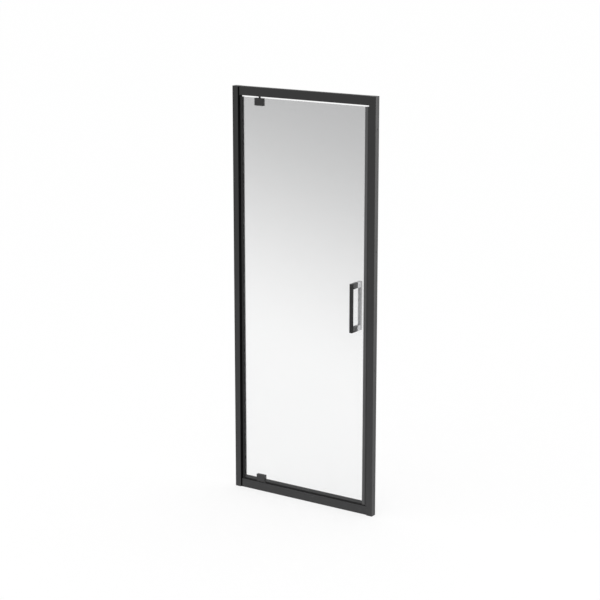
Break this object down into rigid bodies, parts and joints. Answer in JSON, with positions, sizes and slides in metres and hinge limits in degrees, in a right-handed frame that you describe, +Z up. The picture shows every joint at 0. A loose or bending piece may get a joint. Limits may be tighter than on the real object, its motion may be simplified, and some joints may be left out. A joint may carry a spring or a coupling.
{
  "type": "hinged shower door",
  "caption": "Framed pivot shower door: a clear glass leaf with dark edge profiles and an upright bar handle swings outward in a matt anthracite frame.",
  "frame": {"origin": "middle of the sill's underside, below the glass leaf's mid-plane", "axes": "+X from the hinge side to the closing side, +Y from outside the shower to its inside, +Z up"},
  "size_m": [0.8, 0.089, 2],
  "materials": {
    "frame_coat": "matt anthracite powder coat on aluminium",
    "jamb_coat": "deep black matt coat on aluminium",
    "leaf_coat": "matt black powder coat on aluminium",
    "handle_coat": "matt black powder coat on metal",
    "strike_coat": "satin dark grey coat on aluminium",
    "pivot_coat": "matt anthracite powder coat on metal",
    "post_coat": "satin dark grey coat on metal",
    "inner_handle_metal": "satin stainless steel",
    "glass": "clear tempered safety glass",
    "seal": "matt black soft seal",
    "closing_seal": "dark grey soft seal",
    "drip_seal": "matt black soft seal",
    "magnet": "ferrite strip",
    "black_plastic": "moulded black plastic",
    "bush_plastic": "moulded nylon",
    "insert_metal": "die cast, plain",
    "steel": "stainless steel",
    "dark_steel": "blackened steel"
  },
  "bodies": {
    "frame": {"wall_channel_left": "frame_coat", "wall_channel_right": "frame_coat", "hinge_jamb": "jamb_coat", "strike_jamb": "frame_coat", "header_rail": "frame_coat", "sill_rail": "frame_coat", "top_cap_left": "black_plastic", "top_cap_right": "black_plastic", "corner_screws": "steel", "lock_screws": "steel", "lock_screw_covers": "black_plastic", "header_pivot_insert": "insert_metal", "sill_pivot_insert": "insert_metal", "header_pivot_bush": "bush_plastic", "sill_pivot_bush": "bush_plastic", "insert_screws": "steel", "jamb_magnet_seal": "closing_seal", "jamb_magnet": "magnet"},
    "leaf": {"glass_panel": "glass", "hinge_edge_profile": "leaf_coat", "strike_edge_profile": "strike_coat", "hinge_glazing_gasket": "seal", "strike_glazing_gasket": "seal", "hinge_end_caps": "black_plastic", "strike_end_caps": "black_plastic", "hinge_side_seal": "seal", "leaf_magnet_seal": "closing_seal", "leaf_magnet": "magnet", "drip_seal_short": "drip_seal", "drip_seal_long": "drip_seal", "top_pivot_outer_plate": "pivot_coat", "top_pivot_inner_plate": "pivot_coat", "top_pivot_gaskets": "seal", "top_pivot_pin": "dark_steel", "top_pivot_screws": "dark_steel", "bottom_pivot_outer_plate": "pivot_coat", "bottom_pivot_inner_plate": "pivot_coat", "bottom_pivot_gaskets": "seal", "bottom_pivot_pin": "dark_steel", "bottom_pivot_screws": "dark_steel", "outer_handle_bar": "handle_coat", "outer_handle_posts": "post_coat", "inner_handle_bar": "inner_handle_metal", "inner_handle_posts": "inner_handle_metal", "handle_pads": "seal", "handle_sleeves": "bush_plastic", "handle_studs": "steel", "handle_grub_screws": "dark_steel"}
  },
  "joints": [
    {"name": "leaf_swing", "type": "hinge", "parent": "frame", "child": "leaf", "pos_m": [-0.253, 0, 0], "axis": [0, 0, -1], "range_deg": [0, 95]}
  ]
}
